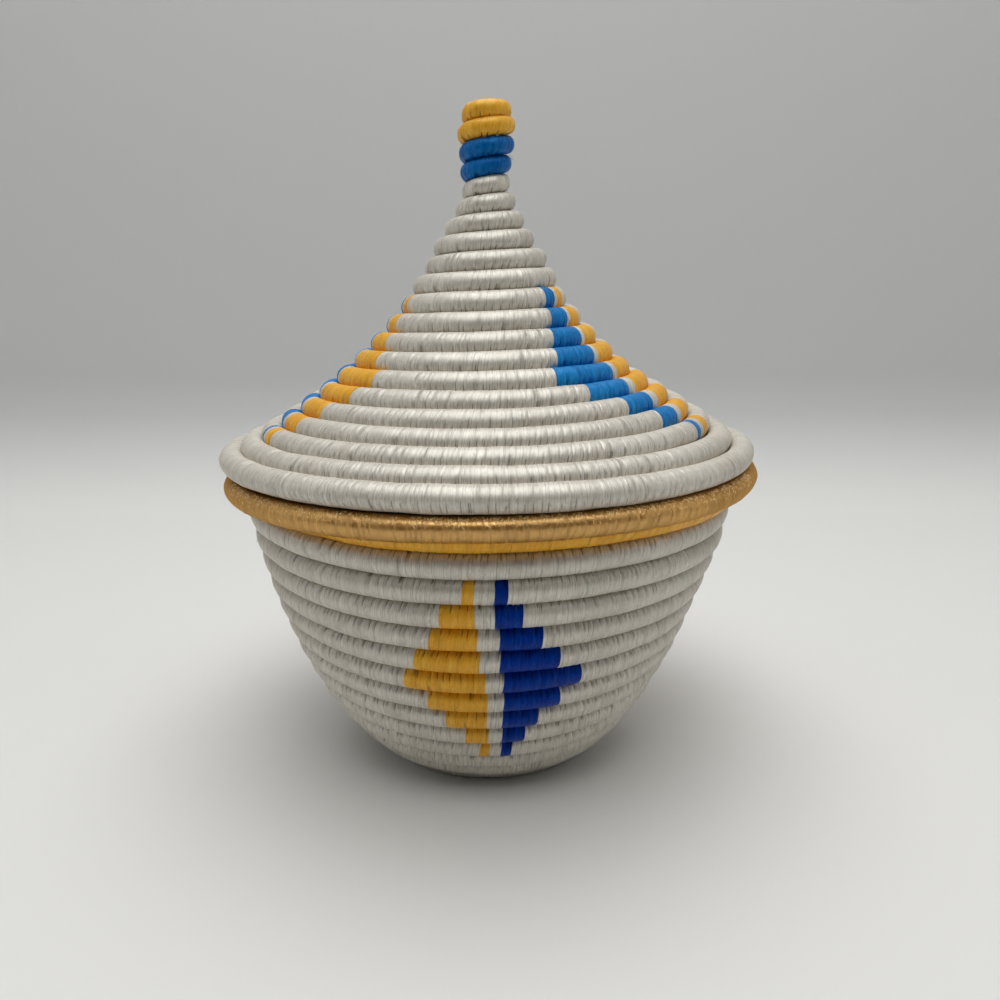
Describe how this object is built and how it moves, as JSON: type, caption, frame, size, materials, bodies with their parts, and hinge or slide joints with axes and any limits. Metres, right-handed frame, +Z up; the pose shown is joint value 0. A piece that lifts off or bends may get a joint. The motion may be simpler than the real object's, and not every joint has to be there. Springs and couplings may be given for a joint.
{
  "type": "lidded coiled basket",
  "caption": "Lidded coiled basket in the agaseke form: a rounded bowl and a tall pointed lid with a banded knob, sewn from sisal-wrapped grass coils; the lid lifts off",
  "frame": {"origin": "on the floor under the basket's axis, at the underside of the base", "axes": "+Z up along the basket's axis, -Y towards the side that the picture shows"},
  "size_m": [0.2302, 0.2245, 0.2773],
  "materials": {
    "white_sisal": "satin",
    "yellow_sisal": "satin",
    "gold_sisal": "satin",
    "blue_sisal": "satin"
  },
  "bodies": {
    "bowl": {"bowl_base_coil": "white_sisal", "bowl_wall_coil": "white_sisal", "bowl_yellow_coil": "yellow_sisal", "bowl_rim_coil": "gold_sisal", "bowl_neck_coil": "white_sisal"},
    "lid": {"lid_brim_coil": "white_sisal", "lid_cone_coil": "white_sisal", "lid_spire_coil": "white_sisal", "knob_blue_coil": "blue_sisal", "knob_yellow_coil": "yellow_sisal"}
  },
  "joints": [
    {"name": "lid_lift", "type": "slide", "parent": "bowl", "child": "lid", "axis": [0, 0, 1], "range_m": [0, 0.15]}
  ]
}
